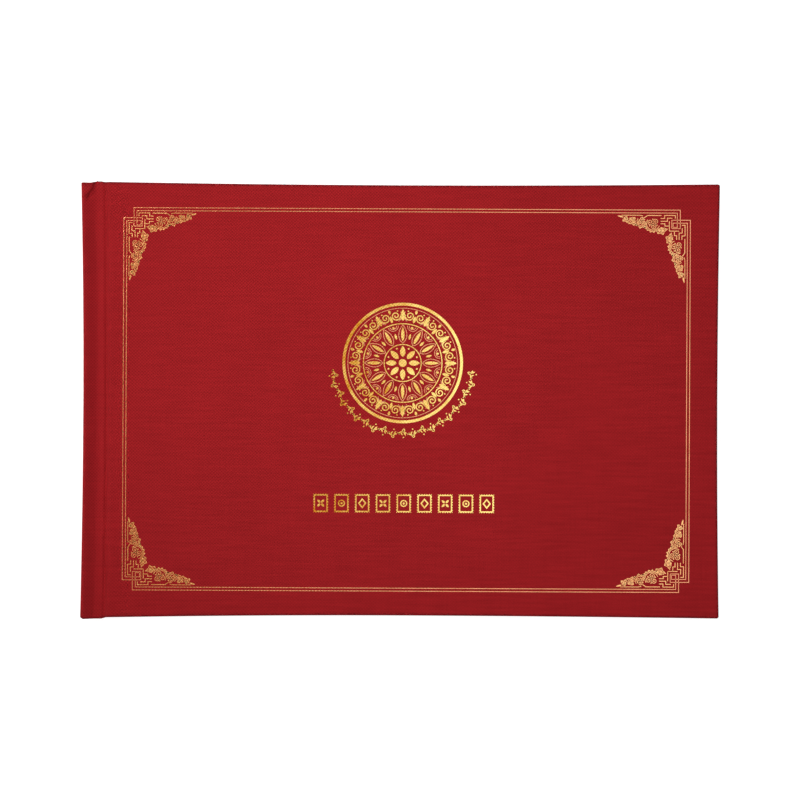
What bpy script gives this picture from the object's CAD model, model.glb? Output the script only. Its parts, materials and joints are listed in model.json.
"""Stamp album: cloth case, gold foil, pocket leaves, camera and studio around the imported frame."""
import json
import math

import bpy
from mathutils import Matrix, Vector, noise
from mathutils.geometry import tessellate_polygon


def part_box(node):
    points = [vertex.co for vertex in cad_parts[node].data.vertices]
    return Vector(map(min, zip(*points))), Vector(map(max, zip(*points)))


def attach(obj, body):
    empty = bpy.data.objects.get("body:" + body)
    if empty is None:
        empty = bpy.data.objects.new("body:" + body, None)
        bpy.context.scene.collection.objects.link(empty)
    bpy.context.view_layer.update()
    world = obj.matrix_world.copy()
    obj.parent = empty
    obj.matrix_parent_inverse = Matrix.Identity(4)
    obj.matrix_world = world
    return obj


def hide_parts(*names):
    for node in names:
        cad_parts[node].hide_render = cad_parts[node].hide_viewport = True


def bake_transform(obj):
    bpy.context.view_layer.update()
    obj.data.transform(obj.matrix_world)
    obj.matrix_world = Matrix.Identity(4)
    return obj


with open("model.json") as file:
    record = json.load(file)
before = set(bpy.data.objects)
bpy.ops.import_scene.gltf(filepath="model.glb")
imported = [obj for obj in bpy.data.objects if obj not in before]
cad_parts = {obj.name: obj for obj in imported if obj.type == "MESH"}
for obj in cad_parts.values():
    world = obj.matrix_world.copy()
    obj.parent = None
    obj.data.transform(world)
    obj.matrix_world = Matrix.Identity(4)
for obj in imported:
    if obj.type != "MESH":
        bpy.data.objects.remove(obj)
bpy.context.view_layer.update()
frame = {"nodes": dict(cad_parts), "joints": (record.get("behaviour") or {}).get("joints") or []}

MM = 0.001

# ---------------------------------------------------------------- sizes, from the frame


def box_mm(node):
    """The lowest and highest corner of a CAD node at rest, in millimetres."""
    low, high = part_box(node)
    return Vector(low) / MM, Vector(high) / MM


def joint_x(name):
    """X of a joint's axis, in millimetres."""
    return next(j for j in frame["joints"] if j["name"] == name)["pos_m"][0] / MM


CLOTH = box_mm("front_cloth")
SPINE = box_mm("spine_cloth")
SPINE_X = CLOTH[0].x
FORE_X = CLOTH[1].x
HALF_W = CLOTH[1].y
ALBUM_T = CLOTH[1].z
MID_Z = ALBUM_T / 2
COVER_T = CLOTH[1].z - CLOTH[0].z
SPINE_T = SPINE[1].x - SPINE[0].x
LENGTH = FORE_X - SPINE_X
LEAVES = sum(1 for n in frame["nodes"] if n.endswith("_card"))
HINGE_X = joint_x("leaf_1_root")
FOLD_X = joint_x("leaf_1_fold")
CARD_X = box_mm("leaf_1_card")[0].x

# ---------------------------------------------------------------- sizes of the cloth and weave

CLOTH_T = 0.35
EDGE_R = 0.5
CORNER_R = 0.8
TURN_IN = 15.0
# distance between threads of the book cloth, along X and along Y
THREAD_X, THREAD_Y = 0.572, 0.556
# width of a coloured stripe, and of one turn of thread, on an end band
STRIPE_W, STRAND_PITCH = 1.2, 0.24
# width of one rib of the weld along a pocket strip
WELD_RIB = 0.8
# how far in from an edge the section of the case stays regular
EDGE_ROOM = 2

# ---------------------------------------------------------------- mesh making


class Sheet:
    """Points and faces in millimetres, with a thread position in millimetres for each point."""

    def __init__(self):
        self.points = []
        self.faces = []
        self.thread = []
        self.sharp = set()

    def add(self, point, thread=None):
        self.points.append(Vector(point))
        self.thread.append(thread or (point[0], point[1], 0.0))
        return len(self.points) - 1

    def grid(self, rows, threads=None):
        """Quads over rows of equal length; they face up where rows step in X and points in Y."""
        ids = []
        for i, row in enumerate(rows):
            ids.append([self.add(p, threads[i][j] if threads else None)
                        for j, p in enumerate(row)])
        for a, b in zip(ids, ids[1:]):
            for j in range(len(a) - 1):
                self.faces.append([a[j], b[j], b[j + 1], a[j + 1]])
        return ids

    def join(self, other):
        """Adds another sheet's faces."""
        shift = len(self.points)
        self.points += other.points
        self.thread += other.thread
        self.faces += [[i + shift for i in f] for f in other.faces]

    def slab(self, x0, x1, y0, y1, z):
        """A flat block between two heights."""
        self.prism([[(x0, y0), (x1, y0), (x1, y1), (x0, y1)]], *z)

    def merge(self, distance=0.002, offset=0.137):
        """Joins points that coincide, and drops faces that shrink to a line.

        The offset keeps round coordinates away from the border between two cells.
        """
        seen, to = {}, []
        points, thread = [], []
        for p, t in zip(self.points, self.thread):
            key = tuple(round(c / distance + offset) for c in p)
            if key not in seen:
                seen[key] = len(points)
                points.append(p)
                thread.append(t)
            to.append(seen[key])
        faces = []
        for f in self.faces:
            g = []
            for i in (to[i] for i in f):
                if not g or g[-1] != i:
                    g.append(i)
            if g[0] == g[-1]:
                g.pop()
            if len(g) > 2 and len(set(g)) == len(g):
                faces.append(g)
        self.points, self.thread, self.faces = points, thread, faces

    def normals(self):
        """A normal for each point, weighted by the area of the faces round it."""
        out = [Vector() for _ in self.points]
        for f in self.faces:
            a = self.points[f[0]]
            n = Vector()
            for i in range(1, len(f) - 1):
                n += (self.points[f[i]] - a).cross(self.points[f[i + 1]] - a)
            for i in f:
                out[i] += n
        return [n.normalized() if n.length > 1e-12 else Vector((0, 0, 1)) for n in out]

    def thicken(self, t):
        """Closes the sheet into a thin solid that lies below its faces."""
        count = len(self.points)
        normal = self.normals()
        edges = dict.fromkeys((a, b) for f in self.faces for a, b in zip(f, f[1:] + f[:1]))
        border = [(a, b) for a, b in edges if (b, a) not in edges]
        for p, n, th in list(zip(self.points, normal, self.thread)):
            self.points.append(p - n * t)
            self.thread.append(th)
        self.faces += [[i + count for i in reversed(f)] for f in self.faces]
        self.faces += [[b, a, a + count, b + count] for a, b in border]
        for a, b in border:
            self.sharp |= {frozenset((a, b)), frozenset((a + count, b + count))}

    def prism(self, outlines, z0, z1):
        """A flat solid between two heights; the first outline is the rim, the rest are holes."""
        flat = [[Vector((x, y, 0)) for x, y in o] for o in outlines]
        tris = tessellate_polygon(flat)
        loose = [p for o in flat for p in o]
        low = [self.add((p.x, p.y, z0)) for p in loose]
        top = [self.add((p.x, p.y, z1)) for p in loose]
        for t in tris:
            a, b, c = (loose[i] for i in t)
            up = (b - a).cross(c - a).z > 0
            order = t if up else tuple(reversed(t))
            self.faces.append([top[i] for i in order])
            self.faces.append([low[i] for i in reversed(order)])
        start = 0
        for k, o in enumerate(flat):
            area = sum(p.x * q.y - q.x * p.y for p, q in zip(o, o[1:] + o[:1]))
            turn = (area > 0) == (k == 0)
            ids = range(start, start + len(o))
            for i, j in zip(ids, list(ids)[1:] + [start]):
                side = [low[i], low[j], top[j], top[i]]
                self.faces.append(side if turn else side[::-1])
            start += len(o)

    def make(self, name, material, smooth=True):
        """A Blender object of the sheet, in metres."""
        mesh = bpy.data.meshes.new(name)
        mesh.from_pydata([tuple(p * MM) for p in self.points], [], self.faces)
        mesh.attributes.new("thread", "FLOAT_VECTOR", "POINT").data.foreach_set(
            "vector", [c for t in self.thread for c in t])
        mesh.validate()
        mesh.update()
        mesh.shade_smooth() if smooth else mesh.shade_flat()
        if self.sharp:
            mesh.attributes.new("sharp_edge", "BOOLEAN", "EDGE").data.foreach_set(
                "value", [frozenset(e.vertices) in self.sharp for e in mesh.edges])
        mesh.materials.append(material)
        obj = bpy.data.objects.new(name, mesh)
        bpy.context.scene.collection.objects.link(obj)
        return obj


def smoothstep(a, b, x):
    t = min(1.0, max(0.0, (x - a) / (b - a)))
    return t * t * (3 - 2 * t)


def bump_at(x, width):
    """1 at nought, and almost 0 beyond twice the width."""
    return math.exp(-(x / width) ** 2)


def spline(points, steps):
    """A smooth curve through points of any dimension."""
    out = []
    n = len(points)
    for i in range(n - 1):
        p0, p1 = points[max(i - 1, 0)], points[i]
        p2, p3 = points[i + 1], points[min(i + 2, n - 1)]
        for s in range(steps):
            t = s / steps
            out.append(tuple(
                0.5 * (2 * b + (c - a) * t + (2 * a - 5 * b + 4 * c - d) * t * t
                       + (3 * b - a - 3 * c + d) * t ** 3)
                for a, b, c, d in zip(p0, p1, p2, p3)))
    out.append(tuple(points[-1]))
    return out


# ---------------------------------------------------------------- shader nodes


class Nodes:
    """Short calls for building a material."""

    def __init__(self, name):
        self.material = bpy.data.materials.new(name)
        self.material.use_nodes = True
        self.tree = self.material.node_tree
        self.tree.nodes.clear()
        self.bsdf = self.node("ShaderNodeBsdfPrincipled")
        out = self.node("ShaderNodeOutputMaterial")
        self.link(self.bsdf.outputs[0], out.inputs["Surface"])

    def node(self, kind, **values):
        n = self.tree.nodes.new(kind)
        for key, value in values.items():
            setattr(n, key, value)
        return n

    def link(self, a, b):
        self.tree.links.new(a, b)

    def put(self, value, socket):
        if isinstance(value, bpy.types.NodeSocket):
            self.link(value, socket)
        else:
            socket.default_value = value

    def math(self, operation, *values):
        n = self.node("ShaderNodeMath", operation=operation)
        for value, socket in zip(values, n.inputs):
            self.put(value, socket)
        return n.outputs[0]

    def times(self, a, b):
        return self.math("MULTIPLY", a, b)

    def position(self, source):
        """x, y and z of the thread attribute, or of the object's own space, in millimetres."""
        split = self.node("ShaderNodeSeparateXYZ")
        if source == "thread":
            at = self.node("ShaderNodeAttribute", attribute_name="thread")
            self.link(at.outputs["Vector"], split.inputs[0])
            return split.outputs[0], split.outputs[1], split.outputs[2]
        at = self.node("ShaderNodeTexCoord")
        self.link(at.outputs["Object"], split.inputs[0])
        return tuple(self.times(o, 1 / MM) for o in split.outputs)

    def vector(self, x, y, z=0.0):
        n = self.node("ShaderNodeCombineXYZ")
        for value, socket in zip((x, y, z), n.inputs):
            self.put(value, socket)
        return n.outputs[0]

    def noise(self, vector, scale, detail=2.0, roughness=0.5):
        n = self.node("ShaderNodeTexNoise")
        self.link(vector, n.inputs["Vector"])
        n.inputs["Scale"].default_value = scale
        n.inputs["Detail"].default_value = detail
        n.inputs["Roughness"].default_value = roughness
        return n.outputs["Fac"]

    def mix(self, factor, a, b):
        n = self.node("ShaderNodeMix", data_type="RGBA")
        self.put(factor, n.inputs["Factor"])
        self.put(a if isinstance(a, bpy.types.NodeSocket) else (*a, 1), n.inputs["A"])
        self.put(b if isinstance(b, bpy.types.NodeSocket) else (*b, 1), n.inputs["B"])
        return n.outputs["Result"]

    def bump(self, height, strength, distance):
        """Relief from a height; the distance is in millimetres."""
        n = self.node("ShaderNodeBump")
        n.inputs["Strength"].default_value = strength
        n.inputs["Distance"].default_value = distance * MM
        self.link(height, n.inputs["Height"])
        self.link(n.outputs[0], self.bsdf.inputs["Normal"])

    def set(self, **values):
        for key, value in values.items():
            socket = self.bsdf.inputs[key.replace("_", " ").title().replace("Ior", "IOR")]
            self.put(value, socket)

    def plain_weave(self, x, y, pitch_x, pitch_y):
        """-1 to 1: threads that pass over and under each other."""
        a = self.math("SINE", self.times(x, math.pi / pitch_x))
        b = self.math("SINE", self.times(y, math.pi / pitch_y))
        return self.times(a, b)


def add(n, *values):
    """The sum of several values or sockets."""
    total = values[0]
    for value in values[1:]:
        total = n.math("ADD", total, value)
    return total


def scaled(n, value, gain, centre=0.5):
    """A noise value as a swing around nought."""
    return n.times(n.math("SUBTRACT", value, centre), gain)


def book_cloth():
    """Plain-weave cloth, flatter towards the tail and the fore-edge, with darker rims."""
    n = Nodes("red_book_cloth")
    x, y, rim = n.position("thread")
    crisp = add(n, n.times(y, 0.0032), n.math("SUBTRACT", 0.7, n.times(x, 0.0018)))
    crisp.node.use_clamp = True
    crisp = n.math("MAXIMUM", crisp, 0.12)
    weave = n.times(n.plain_weave(x, y, THREAD_X, THREAD_Y), crisp)
    weft = n.noise(n.vector(n.times(x, 0.07), n.times(y, 1.1)), 1.0, 2.0)
    warp_at = n.vector(n.times(x, 1.8), n.times(y, 0.06), 3.0)
    warp = n.noise(warp_at, 1.0, 1.0)
    blotch = n.noise(n.vector(x, y, 9.0), 0.06, 3.0)
    fine = n.noise(n.vector(x, y, 5.0), 2.4, 2.0)
    tone = add(n, 0.5, weave, scaled(n, weft, 1.0),
               scaled(n, warp, 0.3), scaled(n, blotch, 0.4), scaled(n, fine, 0.6))
    base = n.mix(tone, (0.24, 0.0058, 0.0082), (0.37, 0.0112, 0.015))
    edge = n.times(rim, 0.5)
    inside = n.math("SUBTRACT", 1.0, n.times(rim, 0.8))
    n.set(base_color=n.mix(edge, base, (0.1, 0.003, 0.005)), roughness=0.85,
          specular_ior_level=0.12, sheen_weight=0.03, sheen_roughness=0.5,
          sheen_tint=(1.0, 0.4, 0.35, 1.0))
    relief = add(n, weave, scaled(n, weft, 1.4), scaled(n, warp, 0.9))
    n.bump(n.times(relief, inside), 0.6, 0.07)
    return n.material


def foil(name, low, high, fade):
    """Metal foil pressed into the weave, rubbed in places; the fade runs along X."""
    n = Nodes(name)
    x, y, _ = n.position("object")
    weave = n.plain_weave(x, y, THREAD_X, THREAD_Y)
    rub = n.noise(n.vector(x, y, 2.0), 1.1, 3.0)
    drift = n.noise(n.vector(x, y, 6.0), 0.16, 2.0)
    tone = add(n, 0.5, scaled(n, rub, 0.9), scaled(n, drift, 1.3), n.times(x, fade))
    n.set(base_color=n.mix(tone, low, high), metallic=1.0,
          roughness=add(n, 0.19, scaled(n, rub, 0.14)))
    n.bump(add(n, weave, scaled(n, rub, 1.5)), 0.18, 0.04)
    return n.material


def paper(name, low, high, grain=0.9, roughness=0.9, bump=0.2):
    """Card, board or paper with short fibres and soft clouds of tone."""
    n = Nodes(name)
    x, y, z = n.position("object")
    fibre = n.noise(n.vector(x, y, z), grain, 4.0, 0.65)
    cloud = n.noise(n.vector(x, y, z), 0.05, 2.0)
    tone = add(n, 0.5, scaled(n, fibre, 0.8), scaled(n, cloud, 0.5))
    n.set(base_color=n.mix(tone, low, high), roughness=roughness, specular_ior_level=0.25)
    n.bump(fibre, bump, 0.04)
    return n.material


def linen(name, low, high, pitch):
    """Open plain weave with slubs."""
    n = Nodes(name)
    x, y, _ = n.position("thread")
    weave = n.plain_weave(x, y, pitch, pitch)
    slub = n.noise(n.vector(x, n.times(y, 0.2)), 2.0, 2.0)
    tone = add(n, 0.5, n.times(weave, 0.35), scaled(n, slub, 0.6))
    n.set(base_color=n.mix(tone, low, high), roughness=0.85, sheen_weight=0.2)
    n.bump(add(n, weave, scaled(n, slub, 1.0)), 0.6, 0.08)
    return n.material


def end_band_thread():
    """Silk wound round the end bands: stripes of red and cream along the band."""
    n = Nodes("end_band_thread")
    x, y, _ = n.position("thread")
    stripe = n.math("SINE", n.times(x, math.pi / STRIPE_W))
    edge = n.times(add(n, stripe, 0.15), 8.0)
    edge.node.use_clamp = True
    strand = n.math("SINE", n.times(x, 2 * math.pi / STRAND_PITCH))
    shade = n.noise(n.vector(x, y), 3.0, 2.0)
    cream = n.mix(shade, (0.62, 0.5, 0.3), (0.8, 0.7, 0.5))
    n.set(base_color=n.mix(edge, cream, (0.4, 0.02, 0.025)), roughness=0.55, sheen_weight=0.3)
    n.bump(strand, 0.5, 0.05)
    return n.material


def clear_film():
    """Thin glossy film with a slight ripple."""
    n = Nodes("clear_film")
    x, y, _ = n.position("object")
    ripple = n.noise(n.vector(n.times(x, 0.3), y), 0.25, 2.0)
    n.set(base_color=(0.82, 0.86, 0.9, 1.0), alpha=0.16,
          roughness=add(n, 0.07, scaled(n, ripple, 0.06)), specular_ior_level=0.8)
    n.bump(ripple, 0.25, 0.4)
    return n.material


def film_weld():
    """The ribbed seam that joins the film to the card."""
    n = Nodes("film_weld")
    x, _, _ = n.position("object")
    ribs = n.math("SINE", n.times(x, 2 * math.pi / WELD_RIB))
    tone = add(n, 0.5, n.times(ribs, 0.4))
    n.set(base_color=n.mix(tone, (0.25, 0.27, 0.29), (0.45, 0.47, 0.5)), roughness=0.25,
          alpha=0.55)
    n.bump(ribs, 0.4, 0.1)
    return n.material


def glassine():
    """Translucent, faintly clouded sheet with a soft gloss."""
    n = Nodes("glassine")
    x, y, _ = n.position("thread")
    cloud = n.noise(n.vector(x, y), 0.02, 2.0)
    fibre = n.noise(n.vector(x, n.times(y, 0.4)), 2.0, 3.0)
    tone = add(n, 0.5, scaled(n, cloud, 0.4), scaled(n, fibre, 0.45))
    n.set(base_color=n.mix(tone, (0.74, 0.74, 0.69), (0.88, 0.88, 0.84)), roughness=0.32,
          alpha=add(n, 0.36, scaled(n, fibre, 0.1)))
    n.bump(cloud, 0.4, 1.0)
    return n.material


def floor_white():
    """A floor that reads as plain white and still takes a faint shadow."""
    n = Nodes("studio_floor")
    x, y, _ = n.position("object")
    grain = n.noise(n.vector(x, y), 0.02, 2.0)
    n.set(base_color=n.mix(grain, (0.33, 0.33, 0.33), (0.36, 0.36, 0.36)), roughness=0.95,
          emission_color=(1.0, 1.0, 1.0, 1.0), emission_strength=0.94)
    return n.material


CLOTH_MAT = book_cloth()
FOIL_MAT = foil("gold_foil", (0.58, 0.25, 0.02), (1.0, 0.78, 0.25), 0.014)
FINE_FOIL_MAT = foil("fine_line_foil", (0.62, 0.24, 0.11), (0.9, 0.43, 0.22), 0.0)
SCROLL_FOIL_MAT = foil("scroll_foil", (0.68, 0.30, 0.11), (1.0, 0.60, 0.26), 0.0)
LINEN_MAT = linen("black_linen", (0.006, 0.006, 0.007), (0.045, 0.045, 0.05), 0.35)
BAND_MAT = end_band_thread()
FILM_MAT = clear_film()
WELD_MAT = film_weld()
GLASSINE_MAT = glassine()

# ---------------------------------------------------------------- case cloth

# Half of the case in section, from the middle of the spine to the board. Each row holds the
# outer face's distance from the spine face and depth below the cover, then the same for the
# inner face of the turned-in cloth.
SECTION_SPINE = [
    (0.0, MID_Z, SPINE_T, MID_Z),
    (0.0, MID_Z * 0.7, SPINE_T, MID_Z * 0.7),
    (0.0, 4.6, SPINE_T, 4.6),
    (0.0, 3.4, SPINE_T, 3.5),
]
SECTION_JOINT = [
    (0.0, 2.0, 2.1, 3.1),
    (0.03, 1.0, 1.6, 2.3),
    (0.25, 0.55, 1.5, 1.7),
    (0.8, 0.3, 1.7, 1.35),
    (1.7, 0.58, 1.9, 1.35),
    (3.0, 1.16, 3.0, 1.92),
    (4.3, 1.66, 4.3, 2.38),
    (5.3, 1.75, 5.3, 2.45),
    (6.3, 1.47, 6.3, 2.25),
    (7.1, 1.2, 7.1, 2.0),
    (7.6, 1.22, 7.6, 2.05),
    (8.1, 1.38, 8.1, 2.3),
    (8.5, 1.3, 8.5, 2.5),
    (8.8, 0.95, 8.8, 2.85),
    (9.05, 0.5, 9.1, 3.1),
    (9.35, 0.16, 9.4, COVER_T),
    (9.9, 0.03, 9.9, COVER_T),
    (10.8, 0.0, 10.8, COVER_T),
]


def case_stations():
    """Rows of the section, smoothed over the joint and plain along the board."""
    joint = spline([SECTION_SPINE[-1]] + SECTION_JOINT, 4)
    rows = SECTION_SPINE[:-1] + joint
    start = SECTION_JOINT[-1][0]
    reach = LENGTH - EDGE_ROOM - start
    count = 24
    for i in range(1, count + 1):
        x = start + reach * i / count
        rows.append((x, 0.0, x, COVER_T))
    return rows


def wrap_levels(depth):
    """Inset from the edge and depth of the cloth as it turns round an edge of this depth."""
    r = min(EDGE_R, depth / 2)
    turn = [math.radians(a) for a in (0, 22.5, 45, 67.5, 90)]
    out = [(EDGE_ROOM, 0.0), (0.6 * EDGE_ROOM, 0.0), (r + 0.1, 0.0)]
    out += [(r - r * math.sin(a), r - r * math.cos(a)) for a in turn]
    out += [(0.0, depth / 2)]
    out += [(r - r * math.cos(a), depth - r + r * math.sin(a)) for a in turn]
    out += [(inset, depth) for inset in (r + 0.1, EDGE_ROOM, 3 * EDGE_ROOM, TURN_IN)]
    return out


def rim_tone(e, d, depth):
    """1 on the outer edge of the cloth, 0 a little way in: how much darker it is there."""
    return (1 - smoothstep(0.25, 1.2, e)) * (1 if d < depth / 2 else 0.5)


def edge_lines():
    """Positions across the cover, closer together near the head and the tail."""
    end = HALF_W - EDGE_ROOM
    near = [end - 0.5 * i for i in range(17)]
    far = [near[-1] * f for f in (0.9, 0.75, 0.55, 0.3)]
    half = near + far
    return [-v for v in half] + [0.0] + half[::-1]


# Faults of the hand. The pinch runs from the spine to the head of the joint, along an arc.
PINCH_FROM = Vector((1.5, HALF_W - 6.4))
PINCH_TO = Vector((5.6, HALF_W + 0.2))
PINCH_BEND = 0.6
PINCH_DEPTH, PINCH_W = 1.0, 0.7
PINCH_RIDGE, RIDGE_AT, RIDGE_W = 0.45, 1.5, 0.9
# how far in from the head and the tail the ends are uneven
END_REACH = 12
HEAD_SINK, HEAD_SHORT, TAIL_LONG = 0.25, 0.3, 0.5
HEAD_EAR, EAR_AT, EAR_W = 0.25, 6.2, 1.4
# how far in from an edge its bow reaches; the corners stand out and the middles lie back
BOW_REACH = 25
HEAD_BOW, HEAD_BACK = 0.85, 0.35
TAIL_BOW_SPINE, TAIL_BOW_FORE, TAIL_BACK = 1.37, 0.59, 0.1
SPINE_OUT, SPINE_BOW_HEAD, SPINE_BOW_TAIL = 0.2, 1.1, 0.8
FORE_OUT, FORE_BOW_HEAD, FORE_BOW_TAIL = 0.15, 0.6, 0.85
# how much the corner at the tail of the spine is rounded, and over what length
TAIL_ROUND, TAIL_ROUND_L = 0.45, 1.3


def pinch(u, y):
    """Depth of the pinch at a place on the cover, with the ridge that it pushes up beside it."""
    path = PINCH_TO - PINCH_FROM
    along = path.normalized()
    rel = Vector((u, y)) - PINCH_FROM
    t = rel.dot(along)
    bend = PINCH_BEND * math.sin(math.pi * min(1, max(0, t / path.length)))
    off = rel.x * along.y - rel.y * along.x - bend
    groove = PINCH_DEPTH * bump_at(off, PINCH_W) - PINCH_RIDGE * bump_at(off + RIDGE_AT, RIDGE_W)
    return smoothstep(-1.0, 3.0, t) * groove


def bowed(u, y):
    """Moves the edges: they bow in a little towards their middles."""
    across = 2 * u / LENGTH - 1
    along = (abs(y) / HALF_W) ** 2
    rim = smoothstep(HALF_W - BOW_REACH, HALF_W, abs(y))
    head = y > 0
    if head:
        y += rim * (HEAD_BOW * across * across - HEAD_BACK)
    else:
        bow = TAIL_BOW_SPINE if across < 0 else TAIL_BOW_FORE
        y -= rim * (bow * across * across - TAIL_BACK)
        y += TAIL_ROUND * (1 - smoothstep(0, TAIL_ROUND_L, u)) * smoothstep(HALF_W - 1, HALF_W, -y)
    u -= (SPINE_OUT + (SPINE_BOW_HEAD if head else SPINE_BOW_TAIL) * along) * (
        1 - smoothstep(0, BOW_REACH, u))
    u += (FORE_OUT + (FORE_BOW_HEAD if head else FORE_BOW_TAIL) * along) * (
        smoothstep(LENGTH - BOW_REACH, LENGTH, u))
    return u, y


def dressed(u, y, d):
    """Small faults of the hand: the pinch at the head of the joint, uneven ends, bowed edges."""
    near_head = smoothstep(HALF_W - END_REACH, HALF_W, y)
    near_tail = smoothstep(HALF_W - END_REACH, HALF_W, -y)
    outer = 1 - smoothstep(2.1, 2.6, d)
    d += outer * (pinch(u, y) + HEAD_SINK * near_head * (1 - smoothstep(2.0, 5.5, u)))
    y += near_head * (HEAD_EAR * bump_at(u - EAR_AT, EAR_W)
                      - HEAD_SHORT * (1 - smoothstep(3.0, 5.0, u)))
    y -= near_tail * TAIL_LONG * (1 - smoothstep(7.0, 9.5, u))
    u, y = bowed(u, y)
    return u, y, d


def case_half(name, front):
    """One continuous skin from the middle of the spine round the board and into the turn-ins."""
    rows = case_stations()
    ys = edge_lines()
    end_y = HALF_W - EDGE_ROOM
    fore = LENGTH
    sheet = Sheet()
    lengths = [0.0]
    for p, q in zip(rows, rows[1:]):
        lengths.append(lengths[-1] + math.dist(p[:2], q[:2]))

    def place(u, y, d):
        u, y, d = dressed(u, y, d)
        return (SPINE_X + u, y, ALBUM_T - d if front else d)

    outer = [[place(r[0], y, r[1]) for y in ys] for r in rows]
    pressed = [0.12 * smoothstep(0.2, 2.0, r[0]) * (1 - smoothstep(4.6, 6.6, r[0])) for r in rows]
    threads = [[(s, y, p) for y in ys] for s, p in zip(lengths, pressed)]
    sheet.grid(outer, threads)

    def side(sign):
        grid, threads = [], []
        for r, s, p in zip(rows, lengths, pressed):
            depth = math.dist(r[:2], r[2:])
            line, tline, run = [], [], 0.0
            last = None
            for e, d in wrap_levels(depth):
                f = d / depth
                u = min(r[0] + (r[2] - r[0]) * f, fore - e)
                z = r[1] + (r[3] - r[1]) * f
                if last:
                    run += math.dist(last, (e, d))
                last = (e, d)
                line.append(place(u, sign * (HALF_W - e), z))
                tline.append((s, sign * (end_y + run), max(p, rim_tone(e, d, depth))))
            grid.append(line)
            threads.append(tline)
        return grid, threads

    def corner(sign):
        """Stations round the outer corner, from the head or tail to the fore-edge."""
        centre = (fore - CORNER_R, HALF_W - CORNER_R)
        stations = [("x", fore - 1.4), ("x", centre[0])]
        stations += [("turn", math.radians(90 - 18 * i)) for i in range(6)]
        stations += [("y", centre[1]), ("y", HALF_W - 1.4)]
        grid, threads = [], []
        for kind, value in stations:
            line, tline = [], []
            for e, d in wrap_levels(COVER_T):
                if kind == "x":
                    u, y = min(value, fore - e), HALF_W - e
                elif kind == "y":
                    u, y = fore - e, min(value, HALF_W - e)
                elif e > CORNER_R:
                    u, y = fore - e, HALF_W - e
                else:
                    u = centre[0] + (CORNER_R - e) * math.cos(value)
                    y = centre[1] + (CORNER_R - e) * math.sin(value)
                line.append(place(u, sign * y, d))
                tline.append((lengths[-1] + u - rows[-1][0], sign * (y + d),
                              rim_tone(e, d, COVER_T)))
            grid.append(line)
            threads.append(tline)
        return grid, threads

    def fore_edge():
        grid, threads = [], []
        for y in reversed(ys):
            line, tline, run, last = [], [], 0.0, None
            for e, d in wrap_levels(COVER_T):
                if last:
                    run += math.dist(last, (e, d))
                last = (e, d)
                inside = HALF_W - e
                line.append(place(fore - e, max(-inside, min(inside, y)), d))
                tline.append((lengths[-1] + run, y, rim_tone(e, d, COVER_T)))
            grid.append(line)
            threads.append(tline)
        return grid, threads

    head, head_t = side(1)
    tail, tail_t = side(-1)
    turn_h, turn_ht = corner(1)
    turn_t, turn_tt = corner(-1)
    edge, edge_t = fore_edge()
    sheet.grid(head + turn_h + edge + turn_t[::-1] + tail[::-1],
               head_t + turn_ht + edge_t + turn_tt[::-1] + tail_t[::-1])
    if not front:
        sheet.faces = [f[::-1] for f in sheet.faces]
    sheet.merge()
    sheet.thicken(CLOTH_T)
    return sheet.make(name, CLOTH_MAT)


def make_case():
    """Cloth over both boards; the front half is glued to the spine and carries its face too."""
    front = case_half("front_case_cloth", True)
    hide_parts("front_cloth", "spine_cloth")
    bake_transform(front)
    back = case_half("back_case_cloth", False)
    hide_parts("back_cloth")
    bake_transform(back)


# ---------------------------------------------------------------- foil

FOIL_Z = [ALBUM_T + 0.01, ALBUM_T + 0.05]


def ribbon(sheet, points, width, closed=False):
    """A line of even width as a flat solid, mitred at its corners."""
    pts = [Vector(p) for p in points]
    n = len(pts)
    left, right = [], []
    for i, p in enumerate(pts):
        before = pts[i - 1] if i or closed else None
        after = pts[(i + 1) % n] if i < n - 1 or closed else None
        d1 = (p - before).normalized() if before else None
        d2 = (after - p).normalized() if after else None
        d1, d2 = d1 or d2, d2 or d1
        n1, n2 = Vector((-d1.y, d1.x)), Vector((-d2.y, d2.x))
        m = n1 + n2
        m = n1 if m.length < 0.2 else m / max(0.5, m.dot(n1))
        left.append(p + m * width / 2)
        right.append(p - m * width / 2)
    z0, z1 = FOIL_Z
    ids = [[sheet.add((q.x, q.y, z)) for q, z in
            ((l, z1), (r, z1), (r, z0), (l, z0))] for l, r in zip(left, right)]
    pairs = list(zip(ids, ids[1:] + ids[:1])) if closed else list(zip(ids, ids[1:]))
    for a, b in pairs:
        for k in range(4):
            sheet.faces.append([a[k], a[(k + 1) % 4], b[(k + 1) % 4], b[k]])
    if not closed:
        sheet.faces.append(ids[0][::-1])
        sheet.faces.append(ids[-1])


def circle_points(centre, r, count=32, start=0.0, sweep=360.0):
    """Points round a whole circle, or along an arc with both its ends."""
    whole = abs(sweep) >= 360
    steps = count if whole else count - 1
    out = []
    for i in range(count):
        a = math.radians(start + sweep * i / steps)
        out.append((centre[0] + r * math.cos(a), centre[1] + r * math.sin(a)))
    return out


def disc(sheet, centre, r, count=14):
    sheet.prism([circle_points(centre, r, count)], *FOIL_Z)


def ring(sheet, centre, r, width, count=64):
    ribbon(sheet, circle_points(centre, r - width / 2, count), width, closed=True)


def petal_outline(base, tip, width, count=9, fullness=0.45):
    """A pointed leaf from base to tip, widest at a share of its length."""
    a, b = Vector(base), Vector(tip)
    d = b - a
    side = Vector((-d.y, d.x)).normalized() * width / 2
    out = []
    for sign in (1, -1):
        steps = range(count) if sign == 1 else range(count, 0, -1)
        for i in steps:
            t = i / count
            swell = math.sin(math.pi * t ** (math.log(0.5) / math.log(fullness))) ** 0.8
            p = a + d * t + side * sign * swell
            out.append((p.x, p.y))
    return out


def petal(sheet, base, tip, width, **shape):
    sheet.prism([petal_outline(base, tip, width, **shape)], *FOIL_Z)


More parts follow.
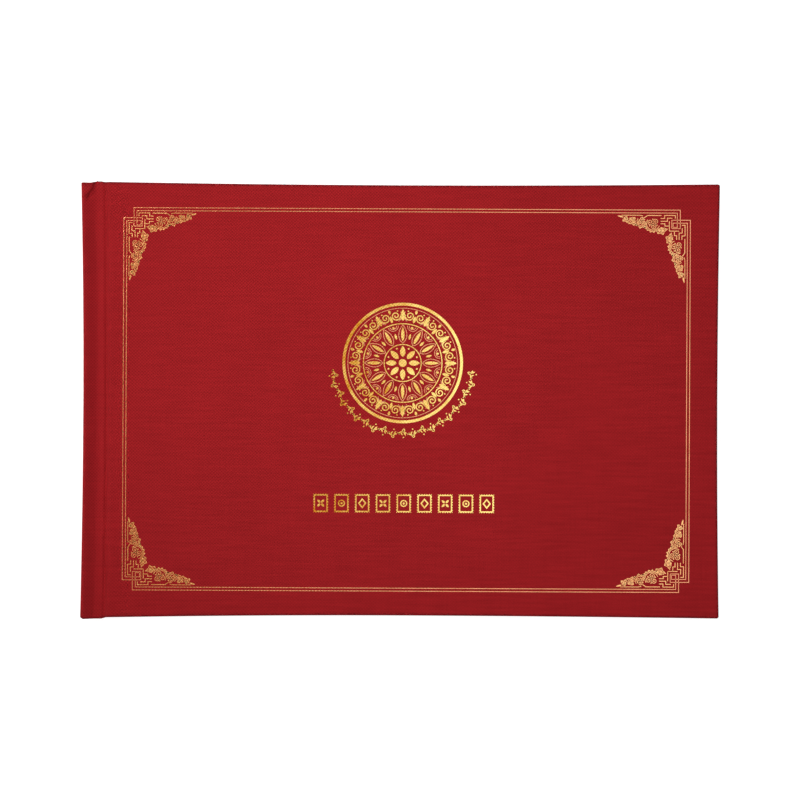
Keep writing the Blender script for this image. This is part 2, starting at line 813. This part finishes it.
def spiral(centre, r0, r1, start, turns, count=30):
    """Points along a spiral whose radius goes evenly from r0 to r1."""
    out = []
    for i in range(count):
        t = i / (count - 1)
        r = r0 + (r1 - r0) * t
        a = math.radians(start + 360 * turns * t)
        out.append((centre[0] + r * math.cos(a), centre[1] + r * math.sin(a)))
    return out


def polar(centre, r, degrees):
    """The place at a radius and an angle from a centre."""
    a = math.radians(degrees)
    return (centre[0] + r * math.cos(a), centre[1] + r * math.sin(a))


FRAME_BOX = box_mm("foil_frame")
FRAME_LINE = 0.22
FRAME_PITCH = 1.05
# how far the lines step in at a corner, the side of the knot there, and how much less it is
# for the inner line
FRAME_STEP = 3.6
KNOT, KNOT_INNER = 3.0, 1.5
# the fine lines lie this much below the stamped faces
FINE_DROP = 0.01


def place_foil(sheet, name, material=FOIL_MAT):
    """Puts a sheet of foil in the place of its CAD piece, on the front cover."""
    fine = material is not FOIL_MAT
    if fine:
        for p in sheet.points:
            p.z = min(p.z, FOIL_Z[1] - FINE_DROP)
    obj = sheet.make(name + ("_lines" if fine else "_stamped"), material, smooth=False)
    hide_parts(name)
    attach(obj, "front_cover")
    return obj


def corner_maps():
    """A function for each corner: inward distances along the two sides to a place on the cover."""
    low, high = FRAME_BOX
    maps = []
    for cx, sx in ((low.x, 1), (high.x, -1)):
        for cy, sy in ((high.y, -1), (low.y, 1)):
            maps.append(lambda a, b, cx=cx, cy=cy, sx=sx, sy=sy: (cx + sx * a, cy + sy * b))
    return maps


def foil_frame():
    """Two lines all round; in each corner they cross and close a small square knot."""
    sheet = Sheet()
    low, high = FRAME_BOX
    for k in range(2):
        inset = FRAME_LINE / 2 + k * FRAME_PITCH
        x0, x1, y0, y1 = low.x + inset, high.x - inset, low.y + inset, high.y - inset
        s = FRAME_STEP
        knot = s + KNOT - k * KNOT_INNER
        end = KNOT - k * KNOT_INNER
        for y, sy in ((y1, -1), (y0, 1)):
            ribbon(sheet, [(x0 + knot, y + sy * knot), (x0 + s, y + sy * knot), (x0 + s, y),
                           (x1 - s, y), (x1 - s, y + sy * knot),
                           (x1 - s - end, y + sy * knot)], FRAME_LINE)
        for x, sx in ((x0, 1), (x1, -1)):
            ribbon(sheet, [(x + sx * knot, y0 + knot), (x + sx * knot, y0 + s), (x, y0 + s),
                           (x, y1 - s), (x + sx * knot, y1 - s),
                           (x + sx * knot, y1 - s - end)], FRAME_LINE)
    place_foil(sheet, "foil_frame", FINE_FOIL_MAT)


def corner_scrolls(sheet, at):
    """Ornament along one side of a corner; `at` turns inward distances into a place."""

    def line(points, width=0.24):
        ribbon(sheet, [at(*p) for p in points], width)

    def leaf(base, tip, width):
        petal(sheet, at(*base), at(*tip), width)

    def curl(centre, r, start, sign, leaves, first, last):
        """A shell of small spirals and beads, with a lobed rim from one angle to the other."""
        for i in range(3):
            a = start + 120 * i
            line(spiral(polar(centre, r * 0.5, a), r * 0.47, 0.1, a + 180, sign * 1.6, 24), 0.19)
            disc(sheet, at(*polar(centre, r * 0.66, a + 60)), 0.1 + r * 0.05, 8)
            leaf(polar(centre, r * 0.08, a + 60), polar(centre, r * 0.5, a + 60), 0.1 + r * 0.13)
        line(circle_points(centre, r + 0.05, 30, first - 50, last - first + 80), 0.2)
        lobes = [polar(centre, r + (0.95 if i % 2 else 0.4),
                       first + (last - first) * i / (2 * leaves))
                 for i in range(2 * leaves + 1)]
        line(spline(lobes, 3), 0.22)
        for i in range(leaves):
            a = first + (last - first) * (i + 0.5) / leaves
            disc(sheet, at(*polar(centre, r + 0.48, a)), 0.17, 7)

    line([(5.5, 3.1), (5.5, 2.0), (9.3, 2.0), (9.3, 3.1), (10.7, 3.1)])
    line([(6.5, 3.0), (8.3, 3.0), (8.3, 4.1), (10.7, 4.1)])
    line([(7.6, 4.1), (7.6, 7.6)])
    line([(7.6, 5.8), (9.2, 5.8), (9.2, 5.0), (10.7, 5.0)])
    line([(10.4, 2.05), (15.4, 2.05), (16.6, 2.9)])
    line(spline([(17.0, 2.2), (18.2, 2.0), (20.4, 2.0), (24.6, 2.0)], 4), 0.2)
    curl((10.5, 7.1), 0.9, 150, 1, 3, 15, 210)
    curl((13.4, 4.9), 2.3, 215, -1, 5, 15, 130)
    curl((17.4, 4.1), 1.65, 150, 1, 3, 15, 135)
    curl((20.6, 3.5), 1.15, 215, -1, 2, 15, 130)
    curl((23.0, 3.0), 0.7, 150, 1, 2, 15, 130)
    leaf((24.0, 2.7), (26.1, 2.15), 0.55)
    leaf((15.2, 7.1), (17.2, 5.9), 0.4)
    leaf((18.6, 5.9), (20.2, 4.9), 0.35)
    for a, b in ((8.4, 6.9), (11.9, 7.6), (16.4, 6.4), (19.5, 5.3), (22.2, 4.3)):
        disc(sheet, at(a, b), 0.2, 8)


def foil_corners():
    """The same ornament along both sides of each corner, mirrored about its diagonal."""
    sheet = Sheet()
    for at in corner_maps():
        corner_scrolls(sheet, at)
        corner_scrolls(sheet, lambda a, b, at=at: at(b, a))
    place_foil(sheet, "foil_corners", SCROLL_FOIL_MAT)


def medal_centre():
    """The middle of the medallion and its radius."""
    low, high = box_mm("foil_medallion")
    return ((low.x + high.x) / 2, (low.y + high.y) / 2), (high.x - low.x) / 2


ROSETTE = 12
HEART = 8


def foil_medallion():
    """A ring around a twelve-part rosette of petals, curls and beads."""
    sheet, fine = Sheet(), Sheet()
    c, r = medal_centre()
    part = 360 // ROSETTE
    ring(sheet, c, r, 1.0, 128)
    ring(fine, c, r * 0.915, 0.2, 96)
    ring(sheet, c, r * 0.66, 0.34, 96)
    ring(sheet, c, r * 0.315, 0.32, 64)
    for i in range(ROSETTE):
        a = part * i
        petal(sheet, polar(c, r * 0.36, a), polar(c, r * 0.60, a), 1.2)
        ribbon(fine, petal_outline(polar(c, r * 0.33, a), polar(c, r * 0.635, a), 2.9), 0.22,
               closed=True)
        ribbon(fine, circle_points(polar(c, r * 0.635, a + 15), 1.9, 14, a + 115, 160), 0.2)
        ribbon(fine, circle_points(polar(c, r * 0.635, a + 15), 1.3, 12, a + 115, 160), 0.2)
        disc(sheet, polar(c, r * 0.6, a + 15), 0.42)
        petal(sheet, polar(c, r * 0.40, a + 15), polar(c, r * 0.50, a + 15), 0.8)
    for i in range(ROSETTE):
        a = part * i + 15
        for side in (1, -1):
            hub = polar(c, r * 0.79, a + side * 6.6)
            ribbon(sheet, spiral(hub, 1.75, 0.3, a + side * 90, side * 1.6, 30), 0.38)
            ribbon(fine, circle_points(hub, 2.15, 12, a + side * 60, side * 110), 0.2)
            disc(sheet, polar(c, r * 0.865, a + side * 9), 0.26)
            petal(fine, polar(c, r * 0.70, a + side * 10), polar(c, r * 0.76, a + side * 12.5),
                  0.5)
        petal(sheet, polar(c, r * 0.68, a), polar(c, r * 0.80, a), 1.0)
        petal(sheet, polar(c, r * 0.9, a), polar(c, r * 0.83, a), 0.9)
        petal(sheet, polar(c, r * 0.70, a + 15), polar(c, r * 0.895, a + 15), 1.5)
    for i in range(HEART):
        a = 360 / HEART * i
        petal(sheet, polar(c, r * 0.10, a), polar(c, r * 0.285, a), 1.9)
        disc(sheet, polar(c, r * 0.255, a + 22.5), 0.32)
    disc(sheet, c, r * 0.065, 20)
    place_foil(sheet, "foil_medallion")
    place_foil(fine, "foil_medallion", FINE_FOIL_MAT)


SPRIGS = 21
# the arc of the garland, in degrees, and how far outside the medallion its stem runs
GARLAND_FROM, GARLAND_SWEEP = 189.5, 161.0
GARLAND_OUT = 3.7


def foil_garland():
    """Leafy sprigs in an arc under the medallion."""
    sheet = Sheet()
    c, r = medal_centre()
    mid = r + GARLAND_OUT
    step = GARLAND_SWEEP / (SPRIGS - 1)
    for i in range(SPRIGS):
        a = GARLAND_FROM + step * i
        side = 1 if i % 2 else -1
        stem = [polar(c, mid + side * 0.7 * math.sin(math.pi * k / 6), a - step * 0.42
                      + step * 0.84 * k / 6) for k in range(7)]
        ribbon(sheet, stem, 0.4)
        for reach, at, width in ((1.75, 0.34, 0.62), (1.55, 0.02, 0.56), (1.2, -0.3, 0.5)):
            petal(sheet, polar(c, mid + side * 0.5, a + step * (at - 0.2)),
                  polar(c, mid - side * (reach - 0.9), a + step * at), width * 0.8)
        ribbon(sheet, spiral(polar(c, mid + side * 1.15, a + step * 0.1), 0.62, 0.2,
                             a + 180, side * 1.1, 12), 0.26)
        disc(sheet, polar(c, mid - side * 1.35, a + step * 0.1), 0.26, 8)
    place_foil(sheet, "foil_garland")


STAMPS = 9
# width of a stamp as a share of its height, its plain border, and the radius of a perforation
# as a share of the distance between two
STAMP_SHAPE = 0.8
STAMP_BORDER = 0.6
BITE = 0.3


def perforated(cx, cy, w, h, across, up):
    """The outline of a stamp, with a half-round bite for each perforation."""
    out = []
    corners = [(-w / 2, -h / 2), (w / 2, -h / 2), (w / 2, h / 2), (-w / 2, h / 2)]
    for k, count in enumerate((across, up, across, up)):
        a, b = Vector(corners[k]), Vector(corners[(k + 1) % 4])
        d = (b - a).normalized()
        inward = Vector((-d.y, d.x))
        pitch = (b - a).length / count
        r = pitch * BITE
        for i in range(count):
            hole = a + d * pitch * (i + 0.5)
            for deg in (180, 130, 90, 50, 0):
                t = math.radians(deg)
                p = hole + d * r * math.cos(t) + inward * r * math.sin(t)
                out.append((cx + p.x, cy + p.y))
        out.append((cx + b.x, cy + b.y))
    return out


def foil_stamp_row():
    """A row of small blank stamps, each with a plain device."""
    sheet = Sheet()
    low, high = box_mm("foil_stamp_row")
    h = high.y - low.y
    w = h * STAMP_SHAPE
    cy = (low.y + high.y) / 2
    for i in range(STAMPS):
        cx = low.x + w / 2 + (high.x - low.x - w) * i / (STAMPS - 1)
        inner = [(cx + sx * (w / 2 - STAMP_BORDER), cy + sy * (h / 2 - STAMP_BORDER))
                 for sx, sy in ((-1, -1), (1, -1), (1, 1), (-1, 1))]
        sheet.prism([perforated(cx, cy, w, h, 6, 7), inner[::-1]], *FOIL_Z)
        if i % 3 == 0:
            for a in range(45, 405, 90):
                petal(sheet, polar((cx, cy), 0.25, a), polar((cx, cy), 1.75, a), 0.8)
        elif i % 3 == 1:
            ring(sheet, (cx, cy), 1.25, 0.4, 24)
            disc(sheet, (cx, cy), 0.4)
        else:
            d = 1.5
            ribbon(sheet, [(cx - d * 0.8, cy), (cx, cy - d), (cx + d * 0.8, cy), (cx, cy + d)],
                   0.45, closed=True)
    place_foil(sheet, "foil_stamp_row")


# ---------------------------------------------------------------- leaves

LINEN_T = 0.28
FILM_T = 0.04
POCKET_ROWS = 4
STRIP_H = 27.0
# the weld along the foot of a strip covers this much below and above its edge; the end welds
# are this wide
WELD_BELOW, WELD_ABOVE, WELD_END = 0.3, 0.6, 0.8
# how much the free part of the glassine lifts off the card, and over what length
GLASSINE_RISE, GLASSINE_FREE = 0.19, 12.0


def linen_half(name, k, x0, x1, z, half_w):
    """A strip of linen along the leaf, a little uneven."""
    sheet = Sheet()
    cols = [x0 + (x1 - x0) * i / 12 for i in range(13)]
    rows = [-half_w + 2 * half_w * j / 24 for j in range(25)]
    sheet.grid([[(x, y, z + LINEN_T / 2 + 0.03 * noise.noise(Vector((x, y * 0.2, k))))
                 for y in rows] for x in cols])
    sheet.thicken(LINEN_T)
    return sheet.make(name, LINEN_MAT)


def leaf_hinge(k):
    """The linen in two halves: one bends where it leaves the spine, one where it meets the card."""
    low, high = box_mm(f"leaf_{k}_hinge")
    z, half_w = (low.z + high.z) / 2, (high.y - low.y) / 2
    middle = (HINGE_X + FOLD_X) / 2
    root = linen_half(f"leaf_{k}_linen_root", k, SPINE_X + SPINE_T, middle, z, half_w)
    fold = linen_half(f"leaf_{k}_linen_edge", k + 0.5, middle, CARD_X + 0.1, z, half_w)
    for piece in (root, fold):
        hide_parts(f"leaf_{k}_hinge")
    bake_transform(root)
    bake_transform(fold)


def leaf_pockets(k):
    """Clear strips: welded to the card along the foot and the ends, and open at the top."""
    low, high = box_mm(f"leaf_{k}_pockets")
    card_low, card_high = box_mm(f"leaf_{k}_card")
    pitch = (high.y - low.y - STRIP_H) / (POCKET_ROWS - 1)
    film, weld = Sheet(), Sheet()
    for face, base in ((1, card_high.z), (-1, card_low.z)):
        z = sorted((base + face * 0.01, base + face * 0.09))
        for row in range(POCKET_ROWS):
            foot = low.y + row * pitch
            grid = []
            for i in range(25):
                x = low.x + (high.x - low.x) * i / 24
                line = []
                for j in range(9):
                    t = j / 8
                    bow = 0.05 * math.sin(math.pi * t) * min(1, i / 2, (24 - i) / 2)
                    line.append((x, foot + STRIP_H * t, base + face * (0.05 + bow)))
                grid.append(line if face == 1 else line[::-1])
            strip = Sheet()
            strip.grid(grid)
            strip.thicken(FILM_T)
            film.join(strip)
            weld.slab(low.x, high.x, foot - WELD_BELOW, foot + WELD_ABOVE, z)
            for x0, x1 in ((low.x, low.x + WELD_END), (high.x - WELD_END, high.x)):
                weld.slab(x0, x1, foot + WELD_ABOVE, foot + STRIP_H, z)
    for sheet, name, mat in ((film, "film", FILM_MAT), (weld, "welds", WELD_MAT)):
        obj = sheet.make(f"leaf_{k}_pocket_{name}", mat, smooth=name == "film")
        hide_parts(f"leaf_{k}_pockets")
        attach(obj, f"leaf_{k}")


def leaf_interleaf(k):
    """A glassine sheet that isn't quite flat, glued along its hinge edge."""
    low, high = box_mm(f"leaf_{k}_interleaf")
    card_z = box_mm(f"leaf_{k}_card")[1].z
    grid = []
    nx, ny = 48, 34
    for i in range(nx + 1):
        x = low.x + (high.x - low.x) * i / nx
        free = smoothstep(0.0, GLASSINE_FREE, x - low.x)
        line = []
        for j in range(ny + 1):
            y = low.y + (high.y - low.y) * j / ny
            lift = 0.10 * noise.noise(Vector((x * 0.03, y * 0.045, k * 3.7)))
            rise = FILM_T + free * (GLASSINE_RISE + max(-0.06, lift))
            line.append((x, y, card_z + rise))
        grid.append(line)
    sheet = Sheet()
    sheet.grid(grid)
    sheet.thicken(FILM_T)
    obj = sheet.make(f"leaf_{k}_glassine", GLASSINE_MAT)
    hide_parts(f"leaf_{k}_interleaf")
    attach(obj, f"leaf_{k}")


def end_band(node):
    """A band wound with thread: a ridged roll, rounded off at both ends."""
    low, high = box_mm(node)
    r = (high.x - low.x) / 2
    cx, cy = (low.x + high.x) / 2, (low.y + high.y) / 2
    sides = 20
    steps = int((high.z - low.z) / STRAND_PITCH) * 4
    grid, threads = [], []
    for i in range(steps + 1):
        z = low.z + (high.z - low.z) * i / steps
        cap = min(1.0, math.sqrt(max(0.0, min(i, steps - i) / 4)))
        ridge = (r - 0.05 + 0.05 * math.cos(math.pi * i / 2)) * (0.55 + 0.45 * cap)
        turn = [2 * math.pi * j / sides for j in range(sides + 1)]
        grid.append([(cx + ridge * math.cos(a), cy + ridge * math.sin(a), z) for a in turn])
        threads.append([(z, j * 0.2, 0.0) for j in range(sides + 1)])
    sheet = Sheet()
    sheet.grid([row[::-1] for row in grid], threads)
    sheet.merge()
    last = steps * sides
    sheet.faces.append(list(range(sides)))
    sheet.faces.append(list(range(last, last + sides))[::-1])
    obj = sheet.make(node + "_thread", BAND_MAT)
    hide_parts(node)
    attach(obj, "spine")


# ---------------------------------------------------------------- materials of the CAD pieces

CARD_MAT = paper("black_card", (0.007, 0.007, 0.008), (0.02, 0.02, 0.021), 1.6, 0.8)
ENDPAPER_MAT = paper("cream_endpaper", (0.74, 0.71, 0.62), (0.86, 0.83, 0.75), 0.8, 0.88)
BOARD_MAT = paper("binders_board", (0.2, 0.185, 0.16), (0.32, 0.3, 0.26), 0.7, 0.95, 0.4)
LINING_MAT = paper("brown_lining", (0.34, 0.24, 0.14), (0.48, 0.36, 0.23), 0.9, 0.9, 0.3)


def dress_cad(node, material):
    """Gives a CAD piece its material."""
    obj = frame["nodes"][node]
    obj.data.materials.clear()
    obj.data.materials.append(material)


def dress_all_cad():
    """The CAD pieces that stay visible, told apart by the ends of their names."""
    for node in frame["nodes"]:
        if node.endswith("_card"):
            dress_cad(node, CARD_MAT)
        elif node.endswith("_board"):
            dress_cad(node, BOARD_MAT)
        elif node.endswith("_endpaper"):
            dress_cad(node, ENDPAPER_MAT)
        elif node.endswith("_lining"):
            dress_cad(node, LINING_MAT)


# ---------------------------------------------------------------- studio


def area_light(name, place, target, size, power, colour=(1, 1, 1), spread=math.pi):
    """A rectangular light turned towards a point; lengths in metres."""
    light = bpy.data.lights.new(name, "AREA")
    light.shape = "RECTANGLE"
    light.size, light.size_y = size
    light.energy = power
    light.color = colour
    light.spread = spread
    obj = bpy.data.objects.new(name, light)
    obj.location = place
    obj.rotation_euler = (Vector(target) - Vector(place)).to_track_quat("-Z", "Y").to_euler()
    bpy.context.scene.collection.objects.link(obj)


# half the side of the floor, and how far it lies below the album so that the two don't touch
FLOOR_HALF, FLOOR_DROP = 6000, 0.2


def studio():
    """A white floor, a small key light, two wide soft ones and a sky that fades upward."""
    scene = bpy.context.scene
    scene.view_settings.view_transform = "Standard"
    world = bpy.data.worlds.new("studio")
    scene.world = world
    world.use_nodes = True
    tree = world.node_tree
    at = tree.nodes.new("ShaderNodeTexCoord")
    split = tree.nodes.new("ShaderNodeSeparateXYZ")
    fade = tree.nodes.new("ShaderNodeMapRange")
    fade.interpolation_type = "SMOOTHSTEP"
    for key, value in (("From Min", 0.05), ("From Max", 0.5), ("To Min", 0.9), ("To Max", 0.1)):
        fade.inputs[key].default_value = value
    sky = tree.nodes["Background"]
    sky.inputs["Color"].default_value = (1, 1, 1, 1)
    tree.links.new(at.outputs["Generated"], split.inputs[0])
    tree.links.new(split.outputs["Z"], fade.inputs["Value"])
    tree.links.new(fade.outputs["Result"], sky.inputs["Strength"])
    area_light("key", (-0.3, 0.176, 0.522), (0.035, 0.024, 0.02), (0.2, 0.2), 0.475,
               spread=math.radians(64))
    area_light("overhead", (0.3, -0.05, 1.6), (0, 0, 0), (0.8, 0.8), 2.6)
    area_light("warm_fill", (-0.5, 0.0, 1.6), (0, 0, 0), (0.9, 0.8), 1.2, (1.0, 0.62, 0.25))
    floor = Sheet()
    ends = (-FLOOR_HALF, FLOOR_HALF)
    floor.grid([[(x, y, -FLOOR_DROP) for y in ends] for x in ends])
    floor.make("floor", floor_white(), smooth=False)


# the camera's height over the cover and the width it sees there, in metres, its roll in
# degrees, and how far it stands off centre
CAM_HEIGHT, CAM_VIEW = 1.2, 0.2854
CAM_ROLL = 0.27
CAM_X = -0.0001


def camera():
    """Straight down on the closed album."""
    cam = bpy.data.cameras.new("camera")
    cam.sensor_width = 36
    cam.lens = cam.sensor_width * CAM_HEIGHT / CAM_VIEW
    obj = bpy.data.objects.new("camera", cam)
    obj.location = (CAM_X, 0.0, CAM_HEIGHT + ALBUM_T * MM)
    obj.rotation_euler = (0, 0, math.radians(CAM_ROLL))
    bpy.context.scene.collection.objects.link(obj)
    bpy.context.scene.camera = obj


camera()
studio()
dress_all_cad()
make_case()
foil_frame()
foil_corners()
foil_medallion()
foil_garland()
foil_stamp_row()
for leaf in range(1, LEAVES + 1):
    leaf_hinge(leaf)
    leaf_pockets(leaf)
    if leaf > 1:
        leaf_interleaf(leaf)
end_band("head_band")
end_band("tail_band")
